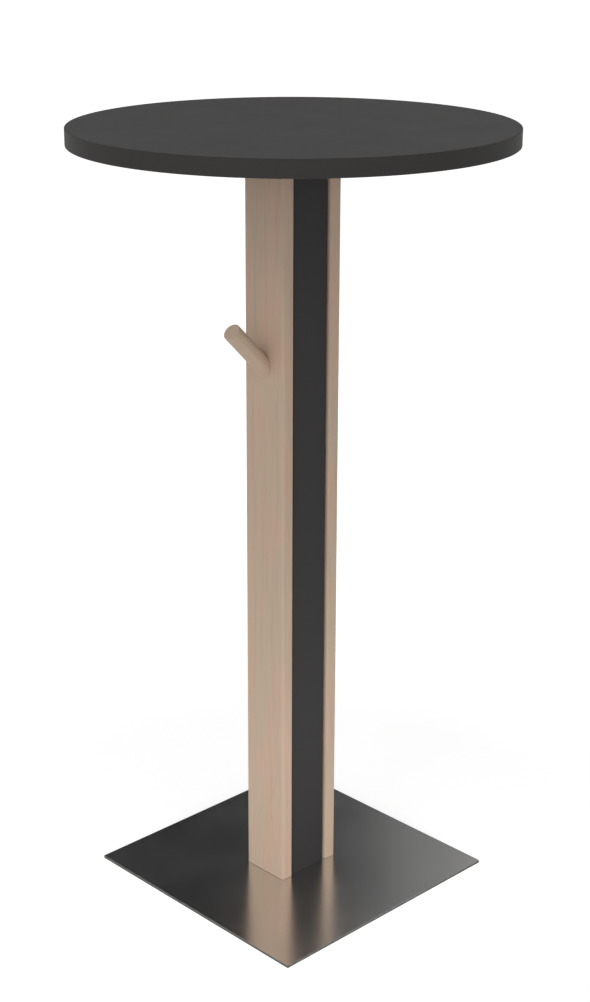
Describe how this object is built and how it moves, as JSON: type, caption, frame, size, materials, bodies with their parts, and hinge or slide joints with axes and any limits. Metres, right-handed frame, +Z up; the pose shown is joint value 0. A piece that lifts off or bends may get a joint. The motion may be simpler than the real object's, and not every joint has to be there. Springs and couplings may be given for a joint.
{
  "type": "standing meeting table",
  "caption": "Round standing-height meeting table: laminate top on a column of two wooden boards round a square steel tube, thin square steel base plate, slanted wooden coat peg.",
  "frame": {"origin": "on the floor, under the middle of the base plate and of the column", "axes": "+Z up; the two boards cover the column's -Y and +Y sides, the coat peg stands out of the -Y board, and the tube shows on the -X and +X sides"},
  "size_m": [0.5999, 0.6, 1.1],
  "materials": {
    "anthracite_laminate": "fine matt texture",
    "anthracite_edge": "matt, slightly smoother than the laminate",
    "balancing_laminate": "matt",
    "chipboard": "raw",
    "board_wood": "matt lacquer, straight grain along the length",
    "peg_wood": "matt lacquer, grain along the peg",
    "anthracite_powder_coat": "fine matt powder coat",
    "base_steel": "dark satin, blurred reflections",
    "block_steel": "machined",
    "screw_steel": "zinc plated",
    "felt": "dense pressed wool felt, undyed",
    "mat_rubber": "matt"
  },
  "bodies": {
    "root": {"floor_mat": "mat_rubber", "base_plate": "base_steel", "foot_block": "block_steel", "column_tube": "anthracite_powder_coat", "head_block": "block_steel", "head_screws": "screw_steel", "mounting_plate": "anthracite_powder_coat", "top_screws": "screw_steel", "peg_side_keys": "anthracite_powder_coat", "plain_side_keys": "anthracite_powder_coat", "peg_side_board": "board_wood", "plain_side_board": "board_wood", "lower_felt_strips": "felt", "upper_felt_strips": "felt", "coat_peg": "peg_wood", "peg_screw": "screw_steel", "balancing_laminate": "balancing_laminate", "top_core": "chipboard", "top_laminate": "anthracite_laminate", "edge_band": "anthracite_edge"}
  },
  "joints": []
}
